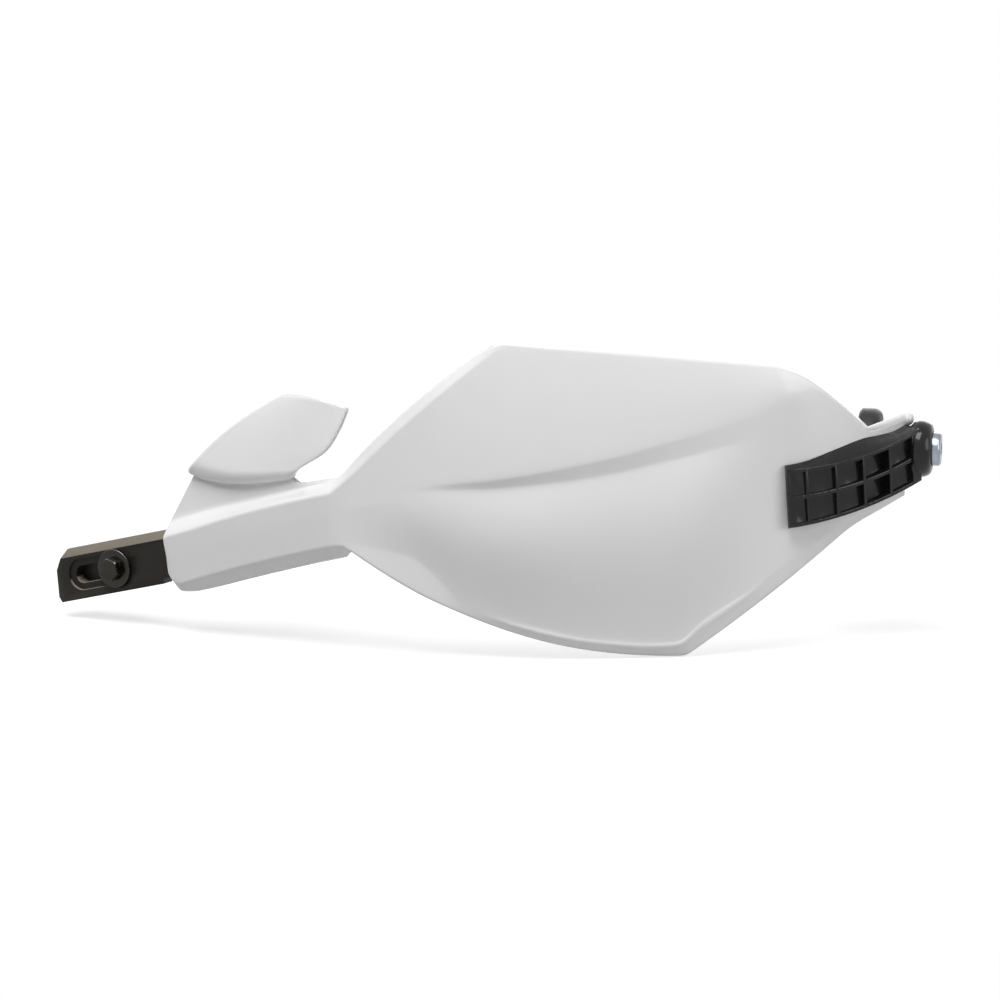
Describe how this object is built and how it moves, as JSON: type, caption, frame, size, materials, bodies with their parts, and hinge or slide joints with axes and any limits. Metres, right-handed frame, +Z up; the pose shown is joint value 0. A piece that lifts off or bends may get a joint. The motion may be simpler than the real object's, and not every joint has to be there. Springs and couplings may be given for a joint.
{
  "type": "motorcycle hand guard",
  "caption": "White moulded hand guard with a small wind deflector, a slotted flat inner bracket and a ribbed bar-end bracket held by a bolt and expander plug.",
  "frame": {"origin": "centre of the flange face that bears on the handlebar's end, on the bar-end bolt's axis", "axes": "+X outward along the bar-end bolt, +Y towards the rider, +Z up"},
  "size_m": [0.3525, 0.0976, 0.1226],
  "materials": {
    "shell": "glossy white polypropylene",
    "bracket": "satin black glass-filled nylon",
    "ribbed": "satin black moulded nylon",
    "spacer": "satin dark grey",
    "dark_steel": "oiled dark steel",
    "zinc": "bright zinc plate",
    "brass": "plain"
  },
  "bodies": {
    "root": {"hand_shield": "shell", "inner_bracket": "bracket", "slot_bolt": "dark_steel", "slot_washer_front": "dark_steel", "slot_plate": "bracket", "slot_nut": "zinc", "arm_insert_1": "brass", "arm_insert_2": "brass", "bracket_screw_1": "zinc", "bracket_screw_2": "zinc", "bracket_washer_1": "zinc", "bracket_washer_2": "zinc", "end_bracket": "ribbed", "end_bush": "zinc", "end_bolt": "zinc", "end_washer": "zinc", "end_spacer": "spacer", "expander_sleeve": "spacer", "expander_cone": "zinc", "tab_screw_1": "zinc", "tab_screw_2": "zinc", "tab_washer_1": "zinc", "tab_washer_2": "zinc"}
  },
  "joints": []
}
